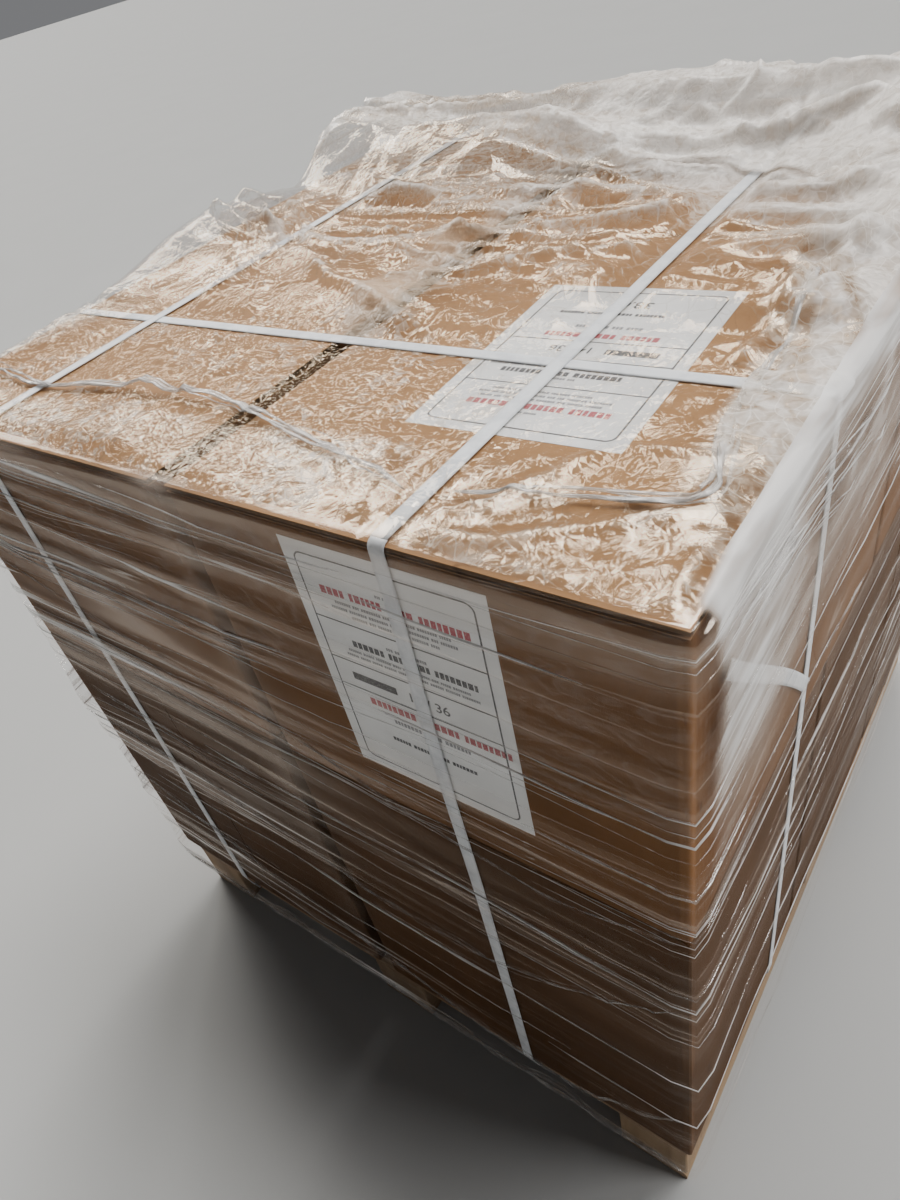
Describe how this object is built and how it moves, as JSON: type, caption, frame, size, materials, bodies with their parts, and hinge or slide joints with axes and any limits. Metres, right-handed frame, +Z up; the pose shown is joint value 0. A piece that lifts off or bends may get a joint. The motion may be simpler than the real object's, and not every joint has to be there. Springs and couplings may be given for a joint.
{
  "type": "shrink wrapped pallet load",
  "caption": "Block of stacked cardboard cartons, strapped to a wooden block pallet and wrapped in clear film.",
  "frame": {"origin": "on the floor, under the middle of the load's overall box", "axes": "+X to the right across the labelled front, +Y from the front to the back, +Z up"},
  "size_m": [1.031, 1.156, 1.1785],
  "materials": {
    "carton_board": "brown kraft corrugated board",
    "pad_board": "kraft corrugated pad with raw edges",
    "label_paper": "white printed paper",
    "strap_plastic": "white extruded strapping",
    "cover_film": "thin crinkled clear film",
    "stretch_film": "clear stretch film",
    "pallet_wood": "rough sawn softwood"
  },
  "bodies": {
    "root": {"block_centre_back": "pallet_wood", "block_centre_front": "pallet_wood", "block_centre_middle": "pallet_wood", "block_left_back": "pallet_wood", "block_left_front": "pallet_wood", "block_left_middle": "pallet_wood", "block_right_back": "pallet_wood", "block_right_front": "pallet_wood", "block_right_middle": "pallet_wood", "bottom_board_centre": "pallet_wood", "bottom_board_left": "pallet_wood", "bottom_board_right": "pallet_wood", "cover_film": "cover_film", "deck_board_1": "pallet_wood", "deck_board_2": "pallet_wood", "deck_board_3": "pallet_wood", "deck_board_4": "pallet_wood", "deck_board_5": "pallet_wood", "deck_board_6": "pallet_wood", "deck_board_7": "pallet_wood", "front_label": "label_paper", "lower_carton_left_back": "carton_board", "lower_carton_left_front": "carton_board", "lower_carton_left_middle": "carton_board", "lower_carton_right_back": "carton_board", "lower_carton_right_front": "carton_board", "lower_carton_right_middle": "carton_board", "strap_cross": "strap_plastic", "strap_left": "strap_plastic", "strap_right": "strap_plastic", "stretch_wrap": "stretch_film", "stringer_board_back": "pallet_wood", "stringer_board_front": "pallet_wood", "stringer_board_middle": "pallet_wood", "top_label": "label_paper", "top_pad_left": "pad_board", "top_pad_right": "pad_board", "upper_carton_left_back": "carton_board", "upper_carton_left_front": "carton_board", "upper_carton_right_back": "carton_board", "upper_carton_right_front": "carton_board"}
  },
  "joints": []
}
